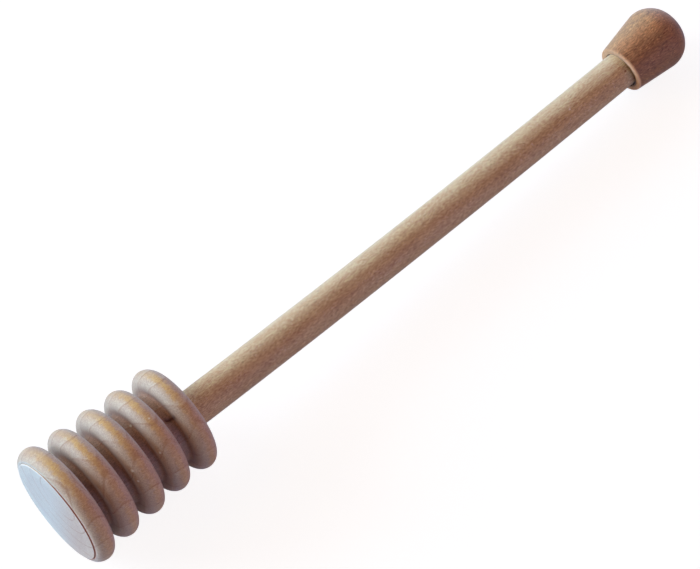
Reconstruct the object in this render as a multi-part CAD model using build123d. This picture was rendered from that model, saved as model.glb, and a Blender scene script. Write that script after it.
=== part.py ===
from build123d import *

import os
from math import asin, atan, atan2, cos, degrees, hypot, radians, sin, sqrt

# Wooden honey dipper, lying on its side as it rests on a table.
# Three turned pieces: a grooved head, a dowel as the handle and an egg-shaped end knob.
# All lengths are millimetres. A station is a distance along a turning axis, counted
# from the flat front face on the head and from the mouth on the knob.
# The pieces are drawn about the X axis, with Y sideways, and laid on the floor at the end.

# Handle: one length of dowel, a little bowed, glued into both other pieces
dowel_radius = 4.0
free_length = 123.9
handle_bow = 0.69
dowel_end_chamfer = 0.5

# Head: the flat front face lies inside the first ring's crest, with a low step at its
# edge and a crease round the step
face_inset = 1.78
face_step = 0.25
face_edge_round = 0.1
crease_width = 0.15
crease_depth = 0.2

# Head: five rounded rings, the largest at the front, on a core that lies one groove's
# depth below the last ring
first_ring_station = 2.6
ring_span = 27.7
largest_ring_radius = 13.5
bead_radius = 2.3
groove_depth = 3.799
groove_root_radius = 0.6
ring_place_shares = (0.0, 0.2455, 0.4946, 0.7437, 1.0)
ring_radius_shares = (1.0, 0.941, 0.915, 0.883, 0.874)

# Head: the blind socket for the dowel, drilled a little off the turning axis and askew
head_socket_depth = 18.0
head_socket_offset = 0.72
head_socket_skew = 0.28
glue_film = 0.05

# Knob: a flat mouth, a long cone, a rounded shoulder and a low crown
knob_length = 16.3
mouth_radius = 5.6
mouth_edge_round = 0.35
shoulder_station = 10.65
shoulder_radius = 5.5
knob_radius = 7.15

# Knob: the loose blind bore, in which the knob has set at a slight angle
knob_bore_depth = 6.0
knob_bore_gap = 0.3
knob_side_shift = 0.12
knob_lean = 5.45

# All that is off the axis lies to one side, which is turned this far below the horizontal
low_side = 61.5

# Drills start outside the face that they open by this much
overrun = 2.0

# Rings, as pairs of station and radius
rings = [
    (first_ring_station + ring_span * place, largest_ring_radius * size)
    for place, size in zip(ring_place_shares, ring_radius_shares)
]
head_length = rings[-1][0] + bead_radius
face_radius = largest_ring_radius - face_inset
core_radius = rings[-1][1] - groove_depth

# The free length of the dowel is one shallow arc. It is drawn towards -Y, with the bow
# angle at both ends of its chord, and the chord is as much askew as the socket
bow_radius = (free_length**2 / 4 + handle_bow**2) / (2 * handle_bow)
bow_angle = degrees(2 * atan(2 * handle_bow / free_length))
chord = Vector(1, 0).rotate(Axis.Z, head_socket_skew)
head_mouth = Vector(head_length, -head_socket_offset)
knob_end = head_mouth + chord * free_length
out_of_head = chord.rotate(Axis.Z, -bow_angle)
into_knob = chord.rotate(Axis.Z, bow_angle)

# The dowel goes into the leaning knob until one side of its rim meets the bore's floor
seat_angle = radians(knob_lean - bow_angle - head_socket_skew)
seat_rim = (dowel_radius - dowel_end_chamfer) * sin(seat_angle)
seat_reach = (knob_bore_depth - seat_rim) / cos(seat_angle)
knob_place = Location(knob_end, (0, 0, knob_lean)) * Pos(0, -knob_side_shift, 0)
to_low_side = Rot(low_side, 0, 0)


def profile(*lines):
    """Face closed by lines that are given in stations and radii."""
    return make_face(Curve() + list(lines))


def turned(face):
    """Solid that a profile makes when it is turned about the X axis."""
    return revolve(face, axis=Axis.X, revolution_arc=360)


def drill(mouth, direction, radius, depth):
    """Flat-bottomed drill that enters at the mouth, against the direction it points."""
    stem = Cylinder(radius, depth + overrun, align=(Align.CENTER, Align.CENTER, Align.MIN))
    return Plane(mouth, z_dir=direction) * Pos(0, 0, -depth) * stem


def bead_front(station, radius):
    """Front quarter of a ring's rounded edge."""
    return CenterArc((station, radius - bead_radius), bead_radius, 90, 90)


def bead_back(station, radius):
    """Back quarter of a ring's rounded edge."""
    return CenterArc((station, radius - bead_radius), bead_radius, 0, 90)


def groove(before, after):
    """Parallel walls and a rounded floor between two neighbouring rings."""
    near = before[0] + bead_radius
    far = after[0] - bead_radius
    return FilletPolyline(
        (near, before[1] - bead_radius),
        (near, core_radius),
        (far, core_radius),
        (far, after[1] - bead_radius),
        radius=groove_root_radius,
    )


def front_of_head():
    """Half of the front face, its rounded step, the crease and the first ring's front."""
    disc_radius = face_radius - crease_width
    inner = disc_radius - face_edge_round
    crease_floor = face_step + crease_depth
    return [
        Line((0, 0), (0, inner)),
        CenterArc((face_edge_round, inner), face_edge_round, 90, 90),
        Line((face_edge_round, disc_radius), (crease_floor, disc_radius)),
        Line((crease_floor, disc_radius), (face_step, face_radius)),
        EllipticalCenterArc(
            (first_ring_station, face_radius),
            first_ring_station - face_step,
            largest_ring_radius - face_radius,
            start_angle=90,
            arc_size=90,
        ),
    ]


def make_head():
    """Five rings with deep grooves between them, and the dowel's socket in the back."""
    lines = front_of_head()
    lines.append(bead_back(*rings[0]))
    for before, after in zip(rings, rings[1:]):
        lines += [groove(before, after), bead_front(*after), bead_back(*after)]
    back_radius = rings[-1][1] - bead_radius
    lines.append(Polyline((head_length, back_radius), (head_length, 0), (0, 0)))
    socket = drill(head_mouth, out_of_head, dowel_radius + glue_film, head_socket_depth)
    return to_low_side * (turned(profile(*lines)) - socket)


def make_handle():
    """Dowel that is straight in both sockets and slightly bowed between them."""
    start = head_mouth - out_of_head * head_socket_depth
    free = JernArc(head_mouth, out_of_head, bow_radius, 2 * bow_angle)
    path = Line(start, head_mouth) + free + Line(free @ 1, knob_end + into_knob * seat_reach)
    dowel = sweep(Plane(start, z_dir=out_of_head) * Circle(dowel_radius), path=path)
    rims = dowel.edges().filter_by(GeomType.CIRCLE).sort_by(Axis.X)
    return to_low_side * chamfer([rims[0], rims[-1]], dowel_end_chamfer)


def make_knob():
    """Egg-shaped knob: cone from the mouth, shoulder arc and crown arc, and a bore."""
    mouth_edge = Vector(0, mouth_radius)
    shoulder = Vector(shoulder_station, knob_radius - shoulder_radius)
    reach = shoulder - mouth_edge
    cone_angle = degrees(atan2(reach.Y, reach.X) + asin(shoulder_radius / reach.length))
    cone_end = shoulder + Vector(0, shoulder_radius).rotate(Axis.Z, cone_angle)

    # The crown meets the shoulder without a corner, so its radius follows from both
    rise = knob_length - shoulder_station
    spread = rise**2 + knob_radius**2 - 2 * knob_radius * shoulder_radius
    crown_radius = spread / (2 * (rise - shoulder_radius))
    crown = Vector(knob_length - crown_radius, 0)
    outward = (shoulder - crown).normalized()
    meeting = crown + outward * crown_radius
    meeting_angle = degrees(atan2(outward.Y, outward.X))

    solid = turned(
        profile(
            Line((0, 0), mouth_edge),
            Line(mouth_edge, cone_end),
            CenterArc(shoulder, shoulder_radius, meeting_angle, 90 + cone_angle - meeting_angle),
            CenterArc(crown, crown_radius, 0, meeting_angle),
            Line((knob_length, 0), (0, 0)),
        )
    )
    mouth_rim = solid.edges().filter_by(GeomType.CIRCLE).sort_by(Axis.X)[0]
    solid = fillet(mouth_rim, mouth_edge_round)
    bore = drill((0, 0), (-1, 0), dowel_radius + knob_bore_gap, knob_bore_depth)
    return to_low_side * knob_place * (solid - bore)


def lay_down(pieces):
    """Rest the pieces on the floor, on the first ring and on the knob's shoulder."""
    ring_foot = Vector(first_ring_station, 0, bead_radius - largest_ring_radius)
    shoulder = to_low_side * knob_place * Pos(shoulder_station, 0, 0)
    knob_axis = Plane(shoulder).x_dir
    tilt = 0
    for _ in range(4):
        # The middles of the two round edges, where each comes nearest to the floor
        down = Vector(sin(tilt), 0, -cos(tilt))
        radial = (down - knob_axis * down.dot(knob_axis)).normalized()
        knob_foot = shoulder.position + radial * (knob_radius - shoulder_radius)
        between = knob_foot - ring_foot
        slope = asin((bead_radius - shoulder_radius) / hypot(between.X, between.Z))
        tilt = atan2(between.Z, between.X) + slope
    axis_height = ring_foot.X * sin(tilt) - ring_foot.Z * cos(tilt) + bead_radius
    resting = Pos(0, 0, axis_height) * Rot(0, degrees(tilt), 0)
    laid = {name: resting * piece for name, piece in pieces.items()}
    middle = Compound(list(laid.values())).bounding_box().center()
    centred = Pos(-middle.X, -middle.Y, 0)
    return {name: centred * piece for name, piece in laid.items()}


parts = lay_down(
    {
        "grooved_head": make_head(),
        "handle_dowel": make_handle(),
        "end_knob": make_knob(),
    }
)

os.makedirs("parts", exist_ok=True)
for node, piece in parts.items():
    export_step(piece, f"parts/{node}.step")
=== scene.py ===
import logging
import math
from dataclasses import dataclass, field
from enum import Enum
from functools import partialmethod
from typing import Any, Mapping, Sequence

import bpy
import numpy as np
from mathutils import Matrix, Vector


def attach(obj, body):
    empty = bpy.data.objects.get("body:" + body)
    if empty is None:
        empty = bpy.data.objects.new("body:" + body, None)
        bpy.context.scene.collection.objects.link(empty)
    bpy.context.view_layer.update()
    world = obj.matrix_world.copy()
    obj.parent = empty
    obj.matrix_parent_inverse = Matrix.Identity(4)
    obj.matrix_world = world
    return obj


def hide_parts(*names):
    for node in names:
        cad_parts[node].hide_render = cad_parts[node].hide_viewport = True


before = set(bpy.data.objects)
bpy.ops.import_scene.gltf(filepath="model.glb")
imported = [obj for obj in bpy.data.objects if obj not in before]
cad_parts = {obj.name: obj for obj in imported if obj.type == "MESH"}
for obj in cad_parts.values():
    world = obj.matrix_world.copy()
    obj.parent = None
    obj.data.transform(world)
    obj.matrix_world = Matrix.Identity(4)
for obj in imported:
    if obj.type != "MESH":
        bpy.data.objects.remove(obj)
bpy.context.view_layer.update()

# Wooden honey dipper lying on a pale table: grooved head, dowel handle, end knob.
# Lengths are in metres. A station is a distance along a turning axis, from the flat
# front face on the head and from the mouth on the knob. A span is a pair of values:
# something has no share at the first and its full share from the second on.

MM = 0.001
BODY = "root"
ROUNDING = 1e-7

# What strays from the head's axis does so to one side, this far below the horizontal
LOW_SIDE = math.radians(61.5)

log = logging.getLogger("honey_dipper")

Array = np.ndarray
Socket = bpy.types.NodeSocket
Pair = tuple[float, float]
Triple = tuple[float, float, float]
Colour = Triple


def mm(*lengths: float) -> tuple[float, ...]:
    """Turn millimetres into metres."""
    return tuple(length * MM for length in lengths)


class Slot(Enum):
    """Names of material slots of the record; the pieces here do not use them."""

    HEAD = "head_wood"
    HANDLE = "handle_wood"
    KNOB = "knob_wood"


# Shader maths


class Channel:
    """A shader value. Its operators add Math nodes to the tree that it belongs to."""

    def __init__(self, recipe: "Recipe", socket: Socket) -> None:
        """Wrap an output socket of a node in the recipe's tree."""
        self.recipe = recipe
        self.socket = socket

    def joined(self, operation: str, swapped: bool, other: Any) -> "Channel":
        """Return what a Math node makes of this and the other, or of the other and this."""
        return self.recipe.maths(operation, *((other, self) if swapped else (self, other)))

    __add__ = __radd__ = partialmethod(joined, "ADD", False)
    __mul__ = __rmul__ = partialmethod(joined, "MULTIPLY", False)
    __sub__ = partialmethod(joined, "SUBTRACT", False)
    __rsub__ = partialmethod(joined, "SUBTRACT", True)
    __truediv__ = partialmethod(joined, "DIVIDE", False)
    __rtruediv__ = partialmethod(joined, "DIVIDE", True)
    __pow__ = partialmethod(joined, "POWER", False)
    __rpow__ = partialmethod(joined, "POWER", True)

    def fraction(self) -> "Channel":
        """Return what is left above the whole number below."""
        return self.recipe.maths("FRACT", self)

    def between(self, at_zero: float, at_one: float) -> "Channel":
        """Return what runs from at_zero to at_one while this runs from 0 to 1."""
        return self * (at_one - at_zero) + at_zero

    def step(self, start: float, end: float) -> "Channel":
        """Return a smooth step from 0 at start to 1 at end; start may be the larger.

        Args:
            start: Value at which the step still gives 0.
            end: Value from which the step gives 1.

        Returns:
            The stepped value.
        """
        inputs = {"Value": self, "From Min": min(start, end), "From Max": max(start, end)}
        inputs["To Min"], inputs["To Max"] = (0.0, 1.0) if end > start else (1.0, 0.0)
        node = self.recipe.node("ShaderNodeMapRange", inputs, interpolation_type="SMOOTHSTEP")
        return Channel(self.recipe, node.outputs["Result"])


class Recipe:
    """A node tree under construction, with one way to add each kind of node."""

    def __init__(self, owner: bpy.types.Material | bpy.types.World) -> None:
        """Start an empty tree.

        Args:
            owner: Material or world that the nodes are for.
        """
        owner.use_nodes = True
        self.tree = owner.node_tree
        self.tree.nodes.clear()

    def node(
        self, kind: str, inputs: Mapping[Any, Any] | None = None, **settings: Any
    ) -> bpy.types.Node:
        """Add a node, set it up, then fill its sockets.

        Args:
            kind: Blender's type name of the node.
            inputs: Values, channels or sockets by the name or number of the input.
            **settings: Properties of the node.

        Returns:
            The new node.
        """
        made = self.tree.nodes.new(kind)
        for key, value in settings.items():
            setattr(made, key, value)
        for key, value in (inputs or {}).items():
            source = value.socket if isinstance(value, Channel) else value
            if isinstance(source, Socket):
                self.tree.links.new(source, made.inputs[key])
            else:
                made.inputs[key].default_value = source
        return made

    def maths(self, operation: str, *values: Any) -> Channel:
        """Return what a Math node makes of up to three values."""
        node = self.node("ShaderNodeMath", dict(enumerate(values)), operation=operation)
        return Channel(self, node.outputs[0])

    def vector(self, operation: str, *values: Any) -> bpy.types.NodeOutputs:
        """Return the outputs of a Vector Math node."""
        node = self.node("ShaderNodeVectorMath", dict(enumerate(values)), operation=operation)
        return node.outputs

    def mix(self, factor: Any, first: Any, second: Any, blend: str = "MIX") -> Socket:
        """Mix two colours.

        Args:
            factor: Share of the second colour.
            first: Colour, or the socket that gives it.
            second: Colour, or the socket that gives it.
            blend: Blend type of the Mix node.

        Returns:
            The mixed colour.
        """
        inputs = {0: factor, 6: self.opaque(first), 7: self.opaque(second)}
        node = self.node("ShaderNodeMix", inputs, data_type="RGBA", blend_type=blend)
        return node.outputs[2]

    @staticmethod
    def opaque(value: Any) -> Any:
        """Return a colour with its alpha, or the socket as it is."""
        return value if isinstance(value, Socket) else (*value, 1.0)

    def attribute(self, name: str) -> Channel:
        """Return a value that the mesh carries at each of its points."""
        node = self.node("ShaderNodeAttribute", attribute_name=name)
        return Channel(self, node.outputs["Fac"])

    def close(self, kind: str, hidden: Socket, seen: Socket) -> None:
        """End the tree with one shader for the camera and another for all other rays.

        Args:
            kind: Blender's type name of the output node.
            hidden: Shader for all rays but the camera's.
            seen: Shader that the camera sees.
        """
        camera = self.node("ShaderNodeLightPath").outputs["Is Camera Ray"]
        mixed = self.node("ShaderNodeMixShader", {0: camera, 1: hidden, 2: seen})
        self.node(kind, {"Surface": mixed.outputs[0]})


@dataclass(frozen=True)
class Grain:
    """Coordinates that patterns are drawn on: on a piece, those about its turning axis."""

    recipe: Recipe
    where: Socket

    def parts(self) -> list[Channel]:
        """Return the coordinates one by one: on a piece along the axis, across it, and up."""
        split = self.recipe.node("ShaderNodeSeparateXYZ", {0: self.where})
        return [Channel(self.recipe, socket) for socket in split.outputs]

    def cells(self, along: float, across: float) -> Socket:
        """Return the coordinates counted in cells of this length and width."""
        return self.recipe.vector("DIVIDE", self.where, (along, across, across))["Vector"]

    def noise(
        self, along: float, across: float, detail: float = 2.0, rough: float = 0.5
    ) -> Channel:
        """Return smooth noise about 0.5, stretched along the grain.

        Args:
            along: Length of a cell.
            across: Width of a cell.
            detail: Octaves that are added to the first.
            rough: Weight of each finer octave.

        Returns:
            The noise's value.
        """
        inputs = {"Scale": 1.0, "Detail": detail, "Roughness": rough}
        inputs["Vector"] = self.cells(along, across)
        node = self.recipe.node("ShaderNodeTexNoise", inputs)
        return Channel(self.recipe, node.outputs[0])


def srgb(red: int, green: int, blue: int) -> Colour:
    """Turn a colour in display values from 0 to 255 into the linear values of a shader."""
    part = np.array([red, green, blue]) / 255.0
    return tuple(np.where(part <= 0.04045, part / 12.92, ((part + 0.055) / 1.055) ** 2.4).tolist())


# Turned surfaces


@dataclass(frozen=True)
class Turning:
    """A turning axis in the row frame, by the place of its station 0 and three angles.

    The coordinates about it lean about their Z, are rolled about X, then tilted about Y.
    """

    start: Triple
    tilt: float
    roll: float = 0.0
    lean: float = 0.0

    def matrix(self) -> Matrix:
        """Return the change from turning coordinates to the row frame."""
        turn = Matrix.Rotation(self.tilt, 4, "Y") @ Matrix.Rotation(self.roll, 4, "X")
        return Matrix.Translation(self.start) @ (turn @ Matrix.Rotation(self.lean, 4, "Z"))

    def laid(self, points: Array) -> Array:
        """Carry points, with X, Y and Z on their last axis, into the row frame."""
        change = np.array(self.matrix())
        return points @ change[:3, :3].T + change[:3, 3]

    def grain(self, recipe: Recipe) -> Grain:
        """Turn a material's Object coordinates into this axis's own coordinates.

        Args:
            recipe: The material.

        Returns:
            The turning coordinates in that material.
        """
        place = recipe.node("ShaderNodeTexCoord").outputs["Object"]
        turn = tuple(self.matrix().to_euler("XYZ"))
        inputs = {"Vector": place, "Location": self.start, "Rotation": turn}
        node = recipe.node("ShaderNodeMapping", inputs, vector_type="TEXTURE")
        return Grain(recipe, node.outputs[0])


def around(columns: int) -> Array:
    """Angles of the columns of a turned surface, from +Y towards +Z."""
    return np.arange(columns) * (2 * np.pi / columns)


@dataclass
class Rings:
    """A turned surface as circles: for each its station, radius and how far it strays.

    All circles stray in one direction, given by its angle from +Y towards +Z.
    """

    station: Array
    radius: Array
    stray: Array
    direction: float = 0.0

    def points(self, columns: int, raised: Array) -> Array:
        """Work out the surface: stray plus radius times the unit circle, ring by ring.

        Args:
            columns: Points on each circle.
            raised: Height added to the radius, for every ring and column.

        Returns:
            Array of rings by columns by three.
        """
        angle = around(columns)[None, :]
        radius = self.radius[:, None] + raised
        along = np.broadcast_to(self.station[:, None], radius.shape)
        stray = self.stray[:, None]
        side = stray * math.cos(self.direction) + radius * np.cos(angle)
        height = stray * math.sin(self.direction) + radius * np.sin(angle)
        return np.stack([along, side, height], axis=-1)

    def end_grain(self) -> Array:
        """Share of the slope that lies across the axis: 1 where it cuts the fibres square."""
        along, outward = np.gradient(self.station), np.gradient(self.radius)
        return (np.abs(outward) / np.hypot(along, outward))[:, None]


def arc(centre: Pair, radii: Pair, start: float, end: float, count: int) -> Array:
    """Points on an elliptical arc: centre plus radii times cosine and sine of the angle.

    Args:
        centre: Station and radius of the arc's centre.
        radii: Half lengths of the ellipse along the axis and across it.
        start: First angle in degrees, from the axis towards larger radii.
        end: Last angle in degrees.
        count: Number of steps; the first point is left out.

    Returns:
        Array of count pairs of station and radius.
    """
    angle = np.radians(np.linspace(start, end, count + 1)[1:])
    return np.stack(
        [centre[0] + radii[0] * np.cos(angle), centre[1] + radii[1] * np.sin(angle)], axis=-1
    )


def line(start: Sequence[float], end: Sequence[float], count: int) -> Array:
    """Evenly spaced points of a straight line, without its first point."""
    share = np.linspace(0.0, 1.0, count + 1)[1:, None]
    return np.asarray(start) * (1 - share) + np.asarray(end) * share


def fade(values: Array, start: float, end: float) -> Array:
    """Straight step from 0 at start to 1 at end; start may be the larger."""
    return np.clip((values - start) / (end - start), 0, 1)


def bell(distance: Array, width: float) -> Array:
    """Bell curve: e to the power of minus the square of distance over width."""
    return np.exp(-((distance / width) ** 2))


def ripple(angle: Array, station: Array, seed: int, count: int) -> Array:
    """Gentle unevenness from 0 to 1: a mean of waves of seeded phase round and along.

    Each wave goes 1 to 6 times round, and turns by 60 to 420 radians in each metre.

    Args:
        angle: Angle of each point round the axis.
        station: Station of each point along the axis.
        seed: Seed of the phases.
        count: Number of waves.

    Returns:
        The mean of the waves at each point.
    """
    chance = np.random.default_rng(seed)
    total = np.zeros(np.broadcast(angle, station).shape)
    for _ in range(count):
        times_round = chance.integers(1, 7)
        along = chance.uniform(60.0, 420.0)
        total += np.sin(times_round * angle + along * station + chance.uniform(0, 2 * np.pi))
    return 0.5 + 0.5 * total / count


def placed(name: str, data: bpy.types.ID) -> bpy.types.Object:
    """Make an object and link it to the scene.

    Args:
        name: Name of the object.
        data: Its mesh, lamp or camera.

    Returns:
        The new object, at the origin.
    """
    made = bpy.data.objects.new(name, data)
    bpy.context.scene.collection.objects.link(made)
    return made


def closed_mesh(
    name: str, grid: Array, poles: Array, attributes: Mapping[str, Array]
) -> bpy.types.Object:
    """Turn circles of points and two poles into one closed, smooth mesh object.

    Quads join the circles and triangles fan out from the poles. They are all wound so
    that the faces point outwards.

    Args:
        name: Name of the piece.
        grid: Circles of points, in the row frame.
        poles: The first and last point, which close the two ends.
        attributes: Values for the circles or for each point, by the name that shaders read.

    Returns:
        The new object, at the origin, with its place in its mesh.
    """
    rows, columns = grid.shape[:2]
    points = np.concatenate([grid.reshape(-1, 3), poles])
    column = np.arange(columns)
    following = (column + 1) % columns
    row = np.arange(rows - 1)[:, None] * columns
    above = row + columns
    quads = np.stack([row + column, row + following, above + following, above + column], axis=-1)
    first, last = rows * columns, rows * columns + 1
    top = (rows - 1) * columns
    front_fan = np.stack([np.full(columns, first), following, column], axis=-1)
    back_fan = np.stack([np.full(columns, last), top + column, top + following], axis=-1)
    faces = quads.reshape(-1, 4).tolist() + front_fan.tolist() + back_fan.tolist()
    mesh = bpy.data.meshes.new(name)
    mesh.from_pydata(points.tolist(), [], faces)
    mesh.shade_smooth()
    for key, given in attributes.items():
        values = np.broadcast_to(given, (rows, columns))
        layer = mesh.attributes.new(key, "FLOAT", "POINT")
        ends = [values[0].mean(), values[-1].mean()]
        layer.data.foreach_set("value", np.append(values.ravel(), ends).astype(np.float32))
    mesh.update()
    return placed(name, mesh)


# Finishes


@dataclass(frozen=True)
class Growth:
    """Growth layers of a board: cylinders round a pith that runs beside the axis.

    Close to the pith they widen by the taper for each metre that the station falls short
    of the even station.
    """

    pith: Pair
    drift: Pair
    first: float
    crowding: float
    waver: float
    taper: float = 0.0
    even_station: float = 16.3 * MM
    taper_span: Pair = mm(8.0, 5.0)
    waver_cell: Pair = mm(30.0, 4.0)

    def layers(self, grain: Grain) -> Channel:
        """Count the layers: the distance to the pith over the first layer's radius, to a power.

        Args:
            grain: Turning coordinates.

        Returns:
            A value that passes a whole number at each layer's dark edge.
        """
        along, across, up = grain.parts()
        side = across - self.pith[0] - along * self.drift[0]
        rise = up - self.pith[1] - along * self.drift[1]
        away = (side * side + rise * rise) ** 0.5
        away = away + (grain.noise(*self.waver_cell) - 0.5) * self.waver
        near = away.step(*self.taper_span) * self.taper
        away = away + (along - self.even_station) * near
        return (away / self.first) ** self.crowding


@dataclass(frozen=True)
class Spot:
    """Small mark on the wood: a torn fibre, a pore's mouth or a speck."""

    station: float
    radius: float
    angle: float
    size: float
    tone: Colour

    def place(self) -> Triple:
        """Return its middle in turning coordinates; the angle is from +Y towards +Z."""
        turn = math.radians(self.angle)
        return self.station, self.radius * math.cos(turn), self.radius * math.sin(turn)


@dataclass(frozen=True, kw_only=True)
class WoodFinish:
    """Bare turned wood: growth layers, fibre streaks, pores, torn fibres and small marks.

    A cell is the length and width of one patch of a noise, and a floor is the least value
    that it leaves. The relief is the height that fibres and pores give the surface, and
    the fuzz is the sheen of its raised fibres. The side away from the key lamp is painted
    darker and redder: painted shade.
    """

    name: str
    turning: Turning
    growth: Growth
    early: Colour
    late: Colour
    end_tone: Colour
    end_share: float = 0.6
    end_span: Pair = (0.25, 0.9)
    patch_tone: Colour
    patches: float = 0.25
    patch_cell: Pair = mm(11.0, 4.5)
    patch_span: Pair = (0.42, 0.72)
    # Painted shade: the side away from the key lamp is painted darker and redder
    shade_side_tone: Colour
    shade_side_share: float
    shade_side_way: Pair = (-1.0, 0.0)
    shade_side_span: Pair = mm(-3.0, 8.0)
    edge: Colour
    line_width: float = 0.08
    line_ends: Pair = (0.35, 0.25)
    line_strength: float
    end_line: float = 0.1
    break_cell: Pair = mm(4.0, 2.6)
    break_span: Pair = (0.25, 0.6)
    flat_span: Pair = (0.9, 1.0)
    pore: Colour
    pore_length: float
    pore_width: float
    pore_share: float
    pore_strength: float
    torn: Colour
    torn_strength: float
    torn_scale: Pair = (0.7, 0.83)
    tick_span: Pair = (1.5, 0.6)
    crowd_cells: float = 6.0
    crowd_span: Pair = (0.40, 0.62)
    streak: float
    streak_cell: Pair = mm(7.0, 0.9)
    streak_share: float = 0.2
    fleck: Pair
    roughness: float = 0.5
    fibre_roughness: float = 0.16
    pore_roughness: float = 0.1
    relief: float = 0.014 * MM
    fibre_relief: float = 0.6
    fuzz: float
    fuzz_tone: Colour = (0.65, 0.84, 1.0)
    spots: tuple[Spot, ...] = ()
    spot_core: float = 0.45
    ragged_cell: Pair = mm(0.3, 0.2)
    ragged_floor: float = 0.55

    def base(self, grain: Grain, share: Channel) -> Socket:
        """Colour of the layers: pale after each dark edge, deeper towards the next one.

        Args:
            grain: Turning coordinates.
            share: Place in its layer, from 0 to 1.

        Returns:
            The colour without lines and pores.
        """
        recipe = grain.recipe
        depth = share.step(0.0, 0.35) * 0.7 + share.step(0.3, 1.0) * 0.3
        tone = recipe.mix(depth, self.early, self.late)
        broad = grain.noise(*self.patch_cell).step(*self.patch_span)
        tone = recipe.mix(broad * self.patches, tone, self.patch_tone)
        end = recipe.attribute("end_grain").step(*self.end_span)
        tone = recipe.mix(end * self.end_share, tone, self.end_tone)
        # Painted shade: darker and redder towards the side away from the key lamp
        return recipe.mix(self.shade_side(grain) * self.shade_side_share, tone, self.shade_side_tone)

    def shade_side(self, grain: Grain) -> Channel:
        """Return how far a point lies towards the side painted darker and redder as shade, from 0
        to 1.
        """
        _, across, up = grain.parts()
        return (across * self.shade_side_way[0] + up * self.shade_side_way[1]).step(*self.shade_side_span)

    def fibres(self, grain: Grain) -> Channel:
        """Draw fine streaks along the grain, with a share of broad ones.

        Args:
            grain: Turning coordinates.

        Returns:
            A value about 0.5.
        """
        fine = grain.noise(*self.fleck, rough=0.6)
        broad = grain.noise(*self.streak_cell) * self.streak_share
        return fine * (1.0 - self.streak_share) + broad

    def ticks(self, grain: Grain, length: float, width: float) -> Channel:
        """Scatter short strokes along the grain, more crowded in some places.

        Args:
            grain: Turning coordinates.
            length: Length of one stroke's cell.
            width: Width of one stroke's cell.

        Returns:
            1 inside the strokes and 0 outside.
        """
        inputs = {"Vector": grain.cells(length, width), "Scale": 1.0, "Randomness": 1.0}
        cells = grain.recipe.node("ShaderNodeTexVoronoi", inputs, feature="F1")
        near = Channel(grain.recipe, cells.outputs["Distance"])
        inside = near.step(*(self.pore_share * part for part in self.tick_span))
        crowd = grain.noise(self.crowd_cells * length, self.crowd_cells * width)
        return inside * crowd.step(*self.crowd_span)

    def lines(self, grain: Grain, share: Channel) -> Channel:
        """Draw the layers' dark edges, broken in places and clearer on flat end grain.

        A line darkens over its width up to the layer's edge, and ends sharply there. Its
        ends say, in line widths before the edge, where it is full and where it thins.

        Args:
            grain: Turning coordinates.
            share: Place in its layer, from 0 to 1.

        Returns:
            Share of the edge's colour.
        """
        width = self.line_width
        full, thin = (1.0 - width * part for part in self.line_ends)
        line = share.step(1.0 - width, full) * share.step(1.0, thin)
        broken = grain.noise(*self.break_cell).step(*self.break_span)
        flat = grain.recipe.attribute("end_grain").step(*self.flat_span)
        # On flat end grain the lines show only towards the side painted as shade, which darkens it
        # further
        flat = flat * self.shade_side(grain)
        return line * broken * (flat * self.end_line + self.line_strength)

    def wear_and_painted_light(self, grain: Grain, tone: Socket) -> Socket:
        """Return the colour as it is; a wood with marks or painted light of its own adds them here.
        """
        return tone

    def marked(self, grain: Grain, tone: Socket) -> Socket:
        """Add the small marks, each with a ragged edge.

        Args:
            grain: Turning coordinates.
            tone: Colour before the marks.

        Returns:
            The colour with the marks.
        """
        recipe = grain.recipe
        ragged = grain.noise(*self.ragged_cell) + self.ragged_floor
        for spot in self.spots:
            gap = recipe.vector("DISTANCE", grain.where, spot.place())["Value"]
            away = Channel(recipe, gap) * ragged
            inside = away.step(spot.size, spot.size * self.spot_core)
            tone = recipe.mix(inside, tone, spot.tone)
        return tone

    def build(self) -> bpy.types.Material:
        """Make the material.

        Returns:
            The finished material.
        """
        material = bpy.data.materials.new(self.name)
        recipe = Recipe(material)
        grain = self.turning.grain(recipe)
        share = self.growth.layers(grain).fraction()
        fibres = self.fibres(grain)
        length, width = self.pore_length, self.pore_width
        pores = self.ticks(grain, length, width)
        torn = self.ticks(grain, length * self.torn_scale[0], width * self.torn_scale[1])
        shade = (fibres - 0.5) * (4.0 * self.streak) + 0.5
        grey = recipe.node("ShaderNodeCombineColor", dict.fromkeys(range(3), shade)).outputs[0]
        tone = recipe.mix(1.0, self.base(grain, share), grey, "OVERLAY")
        tone = recipe.mix(self.lines(grain, share), tone, self.edge)
        tone = recipe.mix(pores * self.pore_strength, tone, self.pore)
        tone = recipe.mix(torn * self.torn_strength, tone, self.torn)
        height = fibres * self.fibre_relief - pores
        inputs = {"Strength": 0.5, "Distance": self.relief, "Height": height}
        bump = recipe.node("ShaderNodeBump", inputs)
        rough = fibres * self.fibre_roughness + pores * self.pore_roughness
        shader = recipe.node(
            "ShaderNodeBsdfPrincipled",
            {
                "Base Color": self.marked(grain, self.wear_and_painted_light(grain, tone)),
                "Roughness": rough + self.roughness,
                "Normal": bump.outputs[0],
                "Specular IOR Level": 0.5,
                "Sheen Weight": self.fuzz,
                "Sheen Roughness": 0.45,
                "Sheen Tint": recipe.opaque(self.fuzz_tone),
            },
        )
        recipe.node("ShaderNodeOutputMaterial", {"Surface": shader.outputs[0]})
        return material


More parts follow.
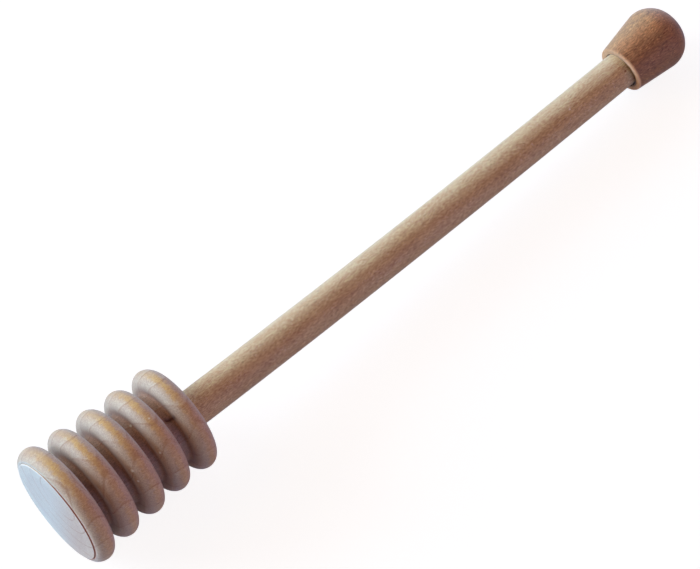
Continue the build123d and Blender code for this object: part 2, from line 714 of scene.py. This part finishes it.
@dataclass(frozen=True, kw_only=True)
class HeadFinish(WoodFinish):
    """The head's wood: warmer on the crests, redder on one side, with crease and notch.

    The spans are stations for the face, distances from the axis for the groove floors'
    painted shade and the crests, and places across the axis for the crests' lit side and
    the lit side of the crease and arris. The crests' floors hold between the blotches, on
    the side painted as shade and on the lit side. Painted light and shade: the face is
    painted blue-white where the key lamp falls and pinker on the shaded side; the crests'
    warm band is partly painted warm light and is cut back on the lit side as a painted
    highlight; the groove floors and the crease carry painted shade, the arris a painted
    highlight.
    """

    # Painted light and shade on the flat face: a lit copy and a shaded copy of its colour
    lit_face_tone: Colour
    shaded_face_tone: Colour
    face_share: float = 0.7
    face_span: Pair = mm(0.45, 0.15)
    groove_shade_tone: Colour
    groove_shade_share: float
    groove_shade_span: Pair = mm(9.9, 8.5)
    crest_tone_and_warm_light: Colour
    crest_share: float
    crest_span: Pair = mm(9.8, 11.2)
    crest_grain_span: Pair = (0.50, 0.10)
    crest_lit_side_span: Pair = mm(11.0, 3.5)
    crest_floors: Triple = (0.55, 0.45, 0.15)
    mottle_cell: Pair = mm(1.3, 1.0)
    mottle_share: float = 0.9
    blotch_cell: Pair = mm(4.0, 4.5)
    blotch_span: Pair = (0.25, 0.55)
    lit_span: Pair = mm(-3.0, 6.0)
    crease_shade_tone: Colour
    arris_highlight_tone: Colour = (0.95, 0.95, 0.92)
    notch_tone: Colour
    shade_and_notch_share: float = 0.9

    def base(self, grain: Grain, share: Channel) -> Socket:
        """Colour of the layers, with warm crests, pale end grain and a redder side.

        Args:
            grain: Turning coordinates.
            share: Place in its layer, from 0 to 1.

        Returns:
            The colour without lines and pores.
        """
        recipe = grain.recipe
        along, across, up = grain.parts()
        out = (across * across + up * up) ** 0.5
        # low is the side painted as shade, away from the key lamp
        low = self.shade_side(grain)
        # Painted shade: the groove floors are painted darker purple-brown
        core = out.step(*self.groove_shade_span) * self.groove_shade_share
        tone = recipe.mix(core, super().base(grain, share), self.groove_shade_tone)
        # The face's pale end grain is painted blue-white as cool key light, and pinker towards the
        # side painted as shade
        face = recipe.mix(low, self.lit_face_tone, self.shaded_face_tone)
        tone = recipe.mix(along.step(*self.face_span) * self.face_share, tone, face)
        mottle = grain.noise(*self.mottle_cell, detail=3.0, rough=0.6) - 0.5
        blotch = grain.noise(*self.blotch_cell, detail=1.0).step(*self.blotch_span)
        # Warm band on the crests' side grain: partly the wood's side grain, partly painted warm
        # light on surfaces that face up
        crest = recipe.attribute("end_grain") + mottle * self.mottle_share
        crest = crest.step(*self.crest_grain_span) * self.crest_share
        plain, red, far = self.crest_floors
        crest = crest * blotch.between(plain, 1.0)
        # Less warm band towards the side painted as shade
        crest = crest * out.step(*self.crest_span) * low.between(1.0, red)
        # Painted highlight: on the key-lit side the warm band is cut back, so the paler tone shows
        crest = crest * across.step(*self.crest_lit_side_span).between(far, 1.0)
        return recipe.mix(crest, tone, self.crest_tone_and_warm_light)

    def wear_and_painted_light(self, grain: Grain, tone: Socket) -> Socket:
        """Add painted shade in the crease, a painted highlight on the arris beside it, and the
        notch.

        Args:
            grain: Turning coordinates.
            tone: Colour of the wood before these marks.

        Returns:
            The colour with the marks.
        """
        recipe = grain.recipe
        lit = grain.parts()[1].step(*self.lit_span)
        # Painted shade in the crease, full on the shaded side and none on the lit side
        crease = recipe.attribute("crease") * lit.between(self.shade_and_notch_share, 0.0)
        tone = recipe.mix(crease, tone, self.crease_shade_tone)
        # Painted highlight along the arris, on the lit side only
        tone = recipe.mix(recipe.attribute("arris") * lit, tone, self.arris_highlight_tone)
        # The notch's dent is painted dark brown
        return recipe.mix(recipe.attribute("notch") * self.shade_and_notch_share, tone, self.notch_tone)


@dataclass(frozen=True, kw_only=True)
class KnobFinish(WoodFinish):
    """The knob's wood, with a pale lip where the mouth's edge is worn."""

    lip_tone: Colour
    lip_share: float
    chip_cell: Pair = mm(0.8, 0.8)
    chip_span: Pair = (0.25, 0.5)
    chip_floor: float = 0.6
    far_floor: float = 0.15

    def wear_and_painted_light(self, grain: Grain, tone: Socket) -> Socket:
        """Add the pale lip, a little unevenly and mostly on the redder side.

        Args:
            grain: Turning coordinates.
            tone: Colour of the wood without the lip.

        Returns:
            The colour with the lip.
        """
        recipe = grain.recipe
        chips = grain.noise(*self.chip_cell).step(*self.chip_span)
        share = recipe.attribute("lip") * chips.between(self.chip_floor, 1.0)
        share = share * self.shade_side(grain).between(self.far_floor, 1.0)
        return recipe.mix(share * self.lip_share, tone, self.lip_tone)


# Pieces


@dataclass
class GroovedHead:
    """Head turned from one billet: a flat face, five rounded rings and four grooves.

    The marks of the crease's painted shade and the arris's painted highlight give how far
    outside the disc's rim they lie, their width, and their first and last station. The notch
    is drawn by lengths along the profile from the last groove's far corner, and the angle of
    its middle at each.
    """

    turning: Turning
    finish: WoodFinish
    face_radius: float = 11.72 * MM
    face_step: float = 0.25 * MM
    face_edge_round: float = 0.1 * MM
    crease_width: float = 0.15 * MM
    crease_depth: float = 0.2 * MM
    crease_shade_mark: tuple[float, ...] = mm(0.08, 0.20, 0.05, 0.6)
    arris_highlight_mark: tuple[float, ...] = mm(-0.06, 0.15, -0.1, 0.2)
    first_ring: float = 2.6 * MM
    ring_span: float = 27.7 * MM
    largest_ring: float = 13.5 * MM
    bead: float = 2.3 * MM
    core: float = 8.0 * MM
    groove_root: float = 0.6 * MM
    place_shares: tuple[float, ...] = (0.0, 0.2455, 0.4946, 0.7437, 1.0)
    size_shares: tuple[float, ...] = (1.0, 0.941, 0.915, 0.883, 0.874)
    socket_radius: float = 4.05 * MM
    socket_depth: float = 18.0 * MM
    socket_stray: float = -0.72 * MM
    socket_slope: float = math.radians(0.9963)
    uneven: float = 0.03 * MM
    notch_run: tuple[float, ...] = mm(-2.3, -1.2, 0.0, 1.6)
    notch_angles: tuple[float, ...] = (102.5, 107.3, 108.6, 109.0)
    notch_half_width: float = 0.42 * MM
    notch_fade: Pair = mm(0.5, 0.7)
    notch_depth: float = 0.3 * MM
    fine_rows_from: float = 0.94
    columns: int = 248
    rim_steps: int = 8
    stations: list[float] = field(init=False)
    radii: list[float] = field(init=False)

    def __post_init__(self) -> None:
        """Work out each ring's station and radius from the shares."""
        self.stations = [self.first_ring + self.ring_span * s for s in self.place_shares]
        self.radii = [self.largest_ring * s for s in self.size_shares]

    def front(self) -> list[Array]:
        """Profile of the face, its rounded step, the crease and the first ring's front.

        Returns:
            Runs of station and radius, in order.
        """
        disc = self.face_radius - self.crease_width
        inner = disc - self.face_edge_round
        nearly = inner * self.fine_rows_from
        floor = self.face_step + self.crease_depth
        bead = (self.first_ring - self.face_step, self.largest_ring - self.face_radius)
        return [
            line((0, 0), (0, nearly), 18),
            line((0, nearly), (0, inner), 5),
            arc((self.face_edge_round, inner), (self.face_edge_round,) * 2, 180, 90, 4),
            line((self.face_edge_round, disc), (floor, disc), 3),
            line((floor, disc), (self.face_step, self.face_radius), 3),
            arc((self.first_ring, self.face_radius), bead, 180, 90, 22),
        ]

    def groove(self, ring: int) -> list[Array]:
        """Profile of the walls and rounded floor between a ring and the next one.

        Args:
            ring: Number of the ring before the groove.

        Returns:
            Runs of station and radius, in order.
        """
        near = self.stations[ring] + self.bead
        far = self.stations[ring + 1] - self.bead
        root = self.groove_root
        low = self.core + root
        return [
            line((near, self.radii[ring] - self.bead), (near, low), 4),
            arc((near + root, low), (root, root), 180, 270, 5),
            line((near + root, self.core), (far - root, self.core), 5),
            arc((far - root, low), (root, root), 270, 360, 5),
            line((far, low), (far, self.radii[ring + 1] - self.bead), 4),
        ]

    def bead_arc(self, ring: int, start: float, end: float) -> Array:
        """Return one quarter of a ring's rounded edge."""
        centre = (self.stations[ring], self.radii[ring] - self.bead)
        return arc(centre, (self.bead, self.bead), start, end, 20)

    def rings(self) -> Rings:
        """Lay the whole profile out, from the face's middle to the socket's floor.

        The socket strays from the axis by its offset at the mouth plus its slope times
        the depth, and the flat rim round it goes over from one to the other.

        Returns:
            The circles of the surface.
        """
        runs = self.front() + [self.bead_arc(0, 90, 0)]
        for ring in range(len(self.stations) - 1):
            runs += self.groove(ring)
            runs += [self.bead_arc(ring + 1, 180, 90), self.bead_arc(ring + 1, 90, 0)]
        outer = np.concatenate(runs)
        back = outer[-1]
        mouth = (back[0], self.socket_radius)
        rim = line(back, mouth, self.rim_steps)
        bore = line(mouth, (back[0] - self.socket_depth, self.socket_radius), 8)
        floor = line(bore[-1], (bore[-1, 0], self.socket_radius * 0.2), 2)
        profile = np.concatenate([outer, rim, bore, floor])
        start = len(outer)
        stray = np.zeros(len(profile))
        stray[start:] = self.socket_stray + (back[0] - profile[start:, 0]) * self.socket_slope
        shares = np.linspace(0, self.socket_stray, self.rim_steps + 1)
        stray[start : start + self.rim_steps] = shares[1:]
        return Rings(profile[:, 0], profile[:, 1], stray, LOW_SIDE)

    def marks(self, rings: Rings) -> dict[str, Array]:
        """Work out where the wood is end grain, creased, arrised or notched.

        The crease's painted shade and the arris's painted highlight are bell curves of the radius,
        within their stations.
        The notch is a stroke that curves from the core up the last ring's wall; across
        itself it is a bell curve, and it fades at its two ends.

        Args:
            rings: The circles of the surface.

        Returns:
            Values from 0 to 1, for every ring or for every ring and column.
        """
        beyond = rings.radius - (self.face_radius - self.crease_width)
        marks = {"end_grain": rings.end_grain()}
        # The crease band carries painted shade, the arris band a painted highlight
        for name, mark in (("crease", self.crease_shade_mark), ("arris", self.arris_highlight_mark)):
            place, width, first, last = mark
            inside = (rings.station > first) & (rings.station < last)
            marks[name] = (bell(beyond - place, width) * inside)[:, None]
        run = np.append(0, np.cumsum(np.hypot(np.diff(rings.station), np.diff(rings.radius))))
        corner = self.stations[-1] - self.bead
        wall = (rings.station >= corner - ROUNDING) & (rings.radius < self.core + self.bead)
        run = run - run[np.argmax(wall)]
        middle = np.radians(np.interp(run, self.notch_run, self.notch_angles))
        across = (around(self.columns)[None, :] - middle[:, None]) * rings.radius[:, None]
        start, end = self.notch_run[0], self.notch_run[-1]
        ends = fade(run, start, start + self.notch_fade[0])
        ends = ends * fade(run, end, end - self.notch_fade[1])
        marks["notch"] = bell(across, self.notch_half_width) * ends[:, None]
        return marks

    def build(self) -> bpy.types.Object:
        """Make the head and dress it.

        Returns:
            The finished piece.
        """
        rings = self.rings()
        marks = self.marks(rings)
        outside = np.arange(len(rings.station))[:, None] < np.argmax(rings.stray < 0)
        waves = ripple(around(self.columns)[None, :], rings.station[:, None], 7, 9)
        raised = -self.uneven * waves * outside
        raised = raised * fade(rings.radius, 0, self.core)[:, None] ** 2
        raised = raised - self.notch_depth * marks["notch"]
        grid = rings.points(self.columns, raised)
        deep = rings.stray[-1] * np.array([math.cos(LOW_SIDE), math.sin(LOW_SIDE)])
        poles = np.array([[0, 0, 0], [rings.station[-1], *deep]])
        piece = closed_mesh("turned_head", self.turning.laid(grid), self.turning.laid(poles), marks)
        piece.data.materials.append(self.finish.build())
        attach(piece, BODY)
        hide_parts("grooved_head")
        return piece


@dataclass
class Handle:
    """Plain dowel, straight in its two sockets and slightly bowed between them."""

    turning: Turning
    finish: WoodFinish
    radius: float = 4.0 * MM
    mouth_station: float = 32.6 * MM
    mouth_stray: float = -0.72 * MM
    skew: float = math.radians(0.28)
    free_length: float = 123.9 * MM
    bow: float = 0.69 * MM
    in_head: float = 18.0 * MM
    in_knob: float = 5.77 * MM
    chamfer: float = 0.5 * MM
    uneven: float = 0.03 * MM
    slow_waves: float = 0.3
    rows: int = 420
    columns: int = 112

    def course(self) -> tuple[Array, ...]:
        """Work out the middle line.

        Its heading turns evenly over the free length and is constant in both sockets;
        its points are the running sum of that heading, from the mouth of the head.

        Returns:
            For each circle the way along the line, the heading, the station and the side.
        """
        heading = 2 * math.atan(2 * self.bow / self.free_length)
        rim = self.chamfer
        end = self.free_length + self.in_knob
        way = np.concatenate(
            [
                np.linspace(-self.in_head, -self.in_head + rim, 4),
                np.linspace(-self.in_head + 2 * rim, -rim, 12),
                np.linspace(0, self.free_length, self.rows),
                np.linspace(self.free_length + rim, end - rim, 8),
                np.linspace(end - rim * 0.7, end, 3),
            ]
        )
        turn = self.skew - heading + 2 * heading * np.clip(way / self.free_length, 0, 1)
        middle = (turn[1:] + turn[:-1]) / 2
        gaps = np.diff(way)
        along = np.append(0, np.cumsum(gaps * np.cos(middle)))
        side = np.append(0, np.cumsum(gaps * np.sin(middle)))
        mouth = int(np.argmin(np.abs(way)))
        along += self.mouth_station - along[mouth]
        side += self.mouth_stray - side[mouth]
        return way, turn, along, side

    def build(self) -> bpy.types.Object:
        """Make the dowel and dress it; each circle stands square to the middle line.

        Returns:
            The finished piece.
        """
        way, turn, along, side = self.course()
        from_end = np.minimum(way + self.in_head, self.free_length + self.in_knob - way)
        radius = self.radius - np.clip(self.chamfer - from_end, 0, None)
        angle = around(self.columns)[None, :]
        full = radius[:, None] - self.uneven * ripple(angle, way[:, None] * self.slow_waves, 21, 7)
        across = full * np.cos(angle)
        grid = np.stack(
            [
                along[:, None] - across * np.sin(turn)[:, None],
                side[:, None] + across * np.cos(turn)[:, None],
                full * np.sin(angle),
            ],
            axis=-1,
        )
        poles = np.stack([along[[0, -1]], side[[0, -1]], np.zeros(2)], axis=-1)
        piece = closed_mesh("turned_dowel", self.turning.laid(grid), self.turning.laid(poles), {})
        piece.data.materials.append(self.finish.build())
        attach(piece, BODY)
        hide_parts("handle_dowel")
        return piece


@dataclass
class EndKnob:
    """Egg-shaped knob: a flat mouth with a bore, a cone, a shoulder and a low crown."""

    turning: Turning
    finish: WoodFinish
    length: float = 16.29 * MM
    mouth: float = 5.6 * MM
    mouth_round: float = 0.35 * MM
    shoulder_station: float = 10.65 * MM
    shoulder: float = 5.5 * MM
    radius: float = 7.15 * MM
    bore: float = 4.3 * MM
    bore_depth: float = 6.0 * MM
    bore_round: float = 0.12 * MM
    lip_width: float = 0.9 * MM
    lip_span: Pair = mm(0.525, 0.175)
    uneven: float = 0.03 * MM
    columns: int = 220

    def rings(self) -> Rings:
        """Lay the profile out, from the bore's floor over the mouth to the crown.

        The cone touches the shoulder's arc, and the crown's arc runs on from it.

        Returns:
            The circles of the surface.
        """
        centre = np.array([self.shoulder_station, self.radius - self.shoulder])
        reach = centre - np.array([0.0, self.mouth])
        slope = math.atan2(reach[1], reach[0]) + math.asin(self.shoulder / np.hypot(*reach))
        rise = self.length - self.shoulder_station
        spread = rise**2 + self.radius**2 - 2 * self.radius * self.shoulder
        crown = spread / (2 * (rise - self.shoulder))
        middle = self.length - crown
        meeting = math.degrees(math.atan2(centre[1], centre[0] - middle))
        tangent = 90 + math.degrees(slope)
        soft = self.mouth_round
        high = self.mouth + math.tan(slope) * soft - soft / math.cos(slope)
        rim = self.bore_round
        lip = arc((rim, self.bore + rim), (rim, rim), 270, 180, 5)
        edge = arc((soft, high), (soft, soft), 180, tangent, 8)
        shoulder = arc(tuple(centre), (self.shoulder,) * 2, tangent, meeting, 60)
        cone_end = centre + self.shoulder * np.array([-math.sin(slope), math.cos(slope)])
        profile = np.concatenate(
            [
                line((self.bore_depth, 0), (self.bore_depth, self.bore), 5),
                line((self.bore_depth, self.bore), (rim, self.bore), 10),
                lip,
                line(lip[-1], (0, high), 6),
                edge,
                line(edge[-1], cone_end, 40),
                shoulder,
                arc((middle, 0), (crown, crown), meeting, 1.0, 22),
            ]
        )
        return Rings(profile[:, 0], profile[:, 1], np.zeros(len(profile)))

    def build(self) -> bpy.types.Object:
        """Make the knob and dress it.

        Returns:
            The finished piece.
        """
        rings = self.rings()
        waves = ripple(around(self.columns)[None, :], rings.station[:, None], 33, 7)
        raised = -self.uneven * waves * fade(rings.radius, 0, self.mouth)[:, None] ** 4
        lip = fade(rings.station, *self.lip_span) * (rings.radius > self.mouth - self.lip_width)
        piece = closed_mesh(
            "turned_knob",
            self.turning.laid(rings.points(self.columns, raised)),
            self.turning.laid(np.array([[self.bore_depth, 0, 0], [self.length, 0, 0]])),
            {"end_grain": rings.end_grain(), "lip": lip[:, None]},
        )
        piece.data.materials.append(self.finish.build())
        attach(piece, BODY)
        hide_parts("end_knob")
        return piece


# Studio


@dataclass(frozen=True)
class Lamp:
    """Square soft lamp that faces the object; its level is in its colour."""

    name: str
    azimuth: float
    height: float
    colour: Colour
    distance: float = 1.6
    size: float = 1.0

    def build(self) -> None:
        """Hang the lamp, at angles in degrees from +X towards +Y and above the floor.

        Its power is pi squared times the distance squared, so that a white surface that
        faces it renders at about the lamp's colour.
        """
        data = bpy.data.lights.new(self.name, "AREA")
        data.shape = "SQUARE"
        data.size = self.size
        data.energy = math.pi**2 * self.distance**2
        data.color = self.colour
        turn, rise = math.radians(self.azimuth), math.radians(self.height)
        level = math.cos(rise)
        way = Vector((level * math.cos(turn), level * math.sin(turn), math.sin(rise)))
        made = placed(self.name, data)
        made.location = way * self.distance
        made.rotation_euler = way.to_track_quat("Z", "Y").to_euler()


LAMPS = (
    Lamp("window", 135.0, 15.0, (0.64, 0.88, 1.17)),
    Lamp("window_front", 180.0, 15.0, (0.10, 0.12, 0.10), size=0.6),
    Lamp("window_side", 90.0, 15.0, (0.27, 0.31, 0.32)),
    Lamp("warm_upper", 140.0, 45.0, (0.20, 0.10, 0.01)),
    Lamp("cool_far", 45.0, 15.0, (0.09, 0.18, 0.31)),
    Lamp("cool_low", 290.0, 15.0, (0.145, 0.16, 0.28)),
    Lamp("warm_right", 335.0, 40.0, (0.21, 0.09, 0.05)),
)


@dataclass
class Studio:
    """Pale table, soft lamps and the camera.

    The table's tone lights the object from below. The camera sees a darker tone with a
    glow instead, which is white where no shadow falls.
    """

    focal_pixels: float = 2700.0
    picture_width: float = 700.0
    sensor: float = 36.0
    nearest: float = 0.01
    farthest: float = 20.0
    eye: Triple = (-0.179718, -0.180057, 0.504719)
    right: Triple = (0.738826, -0.6738136, 0.0105566)
    down: Triple = (-0.5989686, -0.6637772, -0.4479247)
    forward: Triple = (0.308825, 0.3246153, -0.894009)
    lamps: tuple[Lamp, ...] = LAMPS
    table_reach: float = 3.0
    table_tone: Colour = (0.8, 0.8, 0.8)
    table_seen: Colour = (0.3, 0.3, 0.3)
    table_glow: float = 0.87
    horizon: Colour = (0.03, 0.03, 0.05)
    overhead: Colour = (0.06, 0.03, 0.02)
    overhead_span: Pair = (0.2, 0.8)
    white: Colour = (1.0, 1.0, 1.0)

    def camera(self) -> None:
        """Place the camera at the photograph's viewing angle."""
        data = bpy.data.cameras.new("camera")
        data.sensor_fit = "HORIZONTAL"
        data.sensor_width = self.sensor
        data.lens = self.focal_pixels * self.sensor / self.picture_width
        data.clip_start = self.nearest
        data.clip_end = self.farthest
        made = placed("camera", data)
        axes = np.array([self.right, -np.array(self.down), -np.array(self.forward)]).T
        made.matrix_world = Matrix.Translation(self.eye) @ Matrix(axes.tolist()).to_4x4()
        bpy.context.scene.camera = made

    def table(self) -> None:
        """Lay the pale floor, which keeps the object's shadow and is white to the camera."""
        reach = self.table_reach
        corners = [(-reach, -reach, 0), (reach, -reach, 0), (reach, reach, 0), (-reach, reach, 0)]
        mesh = bpy.data.meshes.new("table")
        mesh.from_pydata(corners, [], [(0, 1, 2, 3)])
        material = bpy.data.materials.new("pale_table")
        recipe = Recipe(material)
        plain, dim = (
            recipe.node("ShaderNodeBsdfDiffuse", {"Color": recipe.opaque(tone)}).outputs[0]
            for tone in (self.table_tone, self.table_seen)
        )
        glow = recipe.node("ShaderNodeEmission", {"Strength": self.table_glow})
        both = recipe.node("ShaderNodeAddShader", {0: dim, 1: glow.outputs[0]})
        recipe.close("ShaderNodeOutputMaterial", plain, both.outputs[0])
        mesh.materials.append(material)
        made = placed("table", mesh)

    def surroundings(self) -> None:
        """Make the world: white to the camera, cool near the horizon and warm overhead."""
        world = bpy.data.worlds.new("surroundings")
        recipe = Recipe(world)
        way = recipe.node("ShaderNodeTexCoord").outputs["Generated"]
        height = Grain(recipe, way).parts()[2].step(*self.overhead_span)
        tone = recipe.mix(height, self.horizon, self.overhead)
        fill = recipe.node("ShaderNodeBackground", {"Color": tone})
        white = recipe.node("ShaderNodeBackground", {"Color": recipe.opaque(self.white)})
        recipe.close("ShaderNodeOutputWorld", fill.outputs[0], white.outputs[0])
        bpy.context.scene.world = world

    def build(self) -> None:
        """Set up the camera, the lamps, the table and the surroundings."""
        self.camera()
        for lamp in self.lamps:
            lamp.build()
        self.table()
        self.surroundings()
        bpy.context.scene.view_settings.view_transform = "Standard"


# The object

REST_TILT = math.radians(2.4470)
HEAD_AXIS = Turning(mm(-86.0828, 0.0, 13.6008), REST_TILT)
LOW_AXIS = Turning(HEAD_AXIS.start, REST_TILT, LOW_SIDE)


def knob_axis(handle: Handle, lean: float = 5.45, shift: float = -0.12 * MM) -> Turning:
    """Find the knob's own axis, which leans from the head's axis.

    Args:
        handle: The dowel that the knob sits on.
        lean: Angle in degrees between the two axes.
        shift: Distance of the mouth's middle from the dowel's end, across the knob.

    Returns:
        The knob's turning axis.
    """
    turn = math.radians(lean)
    along = handle.mouth_station + handle.free_length * math.cos(handle.skew)
    stray = handle.mouth_stray + handle.free_length * math.sin(handle.skew)
    end = np.array([along - shift * math.sin(turn), stray + shift * math.cos(turn), 0.0])
    return Turning(tuple(LOW_AXIS.laid(end)), REST_TILT, LOW_SIDE, turn)


HEAD_WOOD = HeadFinish(
    name="pale_turned_wood",
    turning=HEAD_AXIS,
    growth=Growth(mm(-1.05, 8.06), (-0.083, -0.025), 4.7 * MM, 1.18, 0.45 * MM, 0.04),
    early=srgb(213, 193, 166),
    late=srgb(201, 171, 141),
    edge=srgb(156, 98, 62),
    pore=srgb(150, 104, 70),
    # Pale end grain on the flanks: partly the wood's end grain, partly painted cool key light
    end_tone=srgb(206, 197, 184),
    end_share=0.55,
    end_line=0.3,
    line_width=0.12,
    line_strength=0.36,
    pore_length=0.6 * MM,
    pore_width=0.36 * MM,
    pore_share=0.2,
    pore_strength=0.3,
    torn=srgb(240, 224, 200),
    torn_strength=0.3,
    streak=0.22,
    fleck=mm(0.5, 0.2),
    patch_tone=srgb(205, 166, 142),
    # Warm crest band: partly the side grain, partly painted warm light
    crest_tone_and_warm_light=srgb(217, 176, 108),
    crest_share=0.95,
    # Painted shade on the head's side away from the key lamp
    shade_side_tone=srgb(193, 163, 143),
    shade_side_share=0.55,
    # Painted shade in the groove floors
    groove_shade_tone=srgb(168, 128, 108),
    groove_shade_share=0.75,
    # The face's tones are painted light: blue-white where the key lamp falls, pinker on the shaded
    # side
    lit_face_tone=srgb(222, 236, 243),
    shaded_face_tone=srgb(212, 197, 190),
    # Painted shade in the crease
    crease_shade_tone=srgb(186, 98, 64),
    notch_tone=srgb(96, 46, 30),
    fuzz=0.45,
    spots=(
        # The first three spots are torn fibres, painted near white as painted highlights where they
        # catch the light
        Spot(14.35 * MM, 11.27 * MM, 124.9, 0.46 * MM, srgb(252, 248, 244)),
        Spot(21.11 * MM, 10.58 * MM, 129.0, 0.42 * MM, srgb(252, 248, 244)),
        Spot(14.26 * MM, 11.09 * MM, 137.6, 0.38 * MM, srgb(250, 246, 242)),
        Spot(20.69 * MM, 8.15 * MM, 78.8, 0.4 * MM, srgb(214, 206, 184)),
        Spot(23.27 * MM, 11.91 * MM, 95.0, 0.28 * MM, srgb(240, 228, 200)),
        Spot(28.27 * MM, 10.56 * MM, 89.2, 0.25 * MM, srgb(226, 212, 190)),
    ),
)

HANDLE_WOOD = WoodFinish(
    name="dowel_wood",
    turning=HEAD_AXIS,
    growth=Growth(mm(-9.0, 14.0), (-0.01, -0.02), 4.0 * MM, 1.0, 0.6 * MM),
    early=srgb(232, 208, 167),
    late=srgb(224, 197, 152),
    edge=srgb(184, 148, 106),
    pore=srgb(140, 104, 72),
    end_tone=srgb(200, 186, 160),
    line_strength=0.12,
    pore_length=1.0 * MM,
    pore_width=0.32 * MM,
    pore_share=0.22,
    pore_strength=0.6,
    torn=srgb(252, 238, 210),
    torn_strength=0.6,
    streak=0.36,
    fleck=mm(0.8, 0.16),
    patches=0.4,
    patch_tone=srgb(212, 176, 124),
    # Painted shade on the dowel's side away from the key lamp
    shade_side_tone=srgb(178, 144, 98),
    shade_side_span=mm(-2.0, 2.5),
    shade_side_share=0.55,
    fuzz=0.55,
    spots=(
        Spot(127.52 * MM, 3.26 * MM, 126.6, 0.45 * MM, srgb(252, 248, 238)),
        Spot(139.36 * MM, 3.47 * MM, 111.3, 0.34 * MM, srgb(246, 240, 226)),
        Spot(155.23 * MM, 3.85 * MM, 125.0, 0.38 * MM, srgb(158, 110, 70)),
    ),
)

HANDLE = Handle(LOW_AXIS, HANDLE_WOOD)
KNOB_AXIS = knob_axis(HANDLE)

KNOB_WOOD = KnobFinish(
    name="reddish_turned_wood",
    turning=KNOB_AXIS,
    growth=Growth(mm(3.0, 9.0), (0.03, -0.02), 2.4 * MM, 1.0, 1.0 * MM),
    early=srgb(197, 155, 110),
    late=srgb(190, 145, 98),
    edge=srgb(146, 100, 70),
    pore=srgb(104, 60, 38),
    end_tone=srgb(212, 174, 138),
    end_share=0.5,
    line_strength=0.2,
    pore_length=1.7 * MM,
    pore_width=0.36 * MM,
    pore_share=0.23,
    pore_strength=0.85,
    torn=srgb(246, 190, 130),
    torn_strength=0.55,
    streak=0.4,
    fleck=mm(1.2, 0.17),
    patches=0.55,
    patch_tone=srgb(204, 134, 80),
    # Painted shade: the knob's side away from the key lamp is painted darker and redder
    shade_side_way=(-0.477, 0.879),
    shade_side_span=mm(-4.0, 4.0),
    shade_side_tone=srgb(138, 91, 59),
    shade_side_share=0.82,
    fuzz=0.5,
    lip_tone=srgb(252, 200, 156),
    lip_share=0.85,
)


def main() -> None:
    """Build the studio and the pieces in order."""
    Studio().build()
    log.info("studio set up")
    for builder in (GroovedHead(HEAD_AXIS, HEAD_WOOD), HANDLE, EndKnob(KNOB_AXIS, KNOB_WOOD)):
        piece = builder.build()
        log.info("%s: %d faces", piece.name, len(piece.data.polygons))


if __name__ == "__main__":
    logging.basicConfig(level=logging.INFO)
    main()
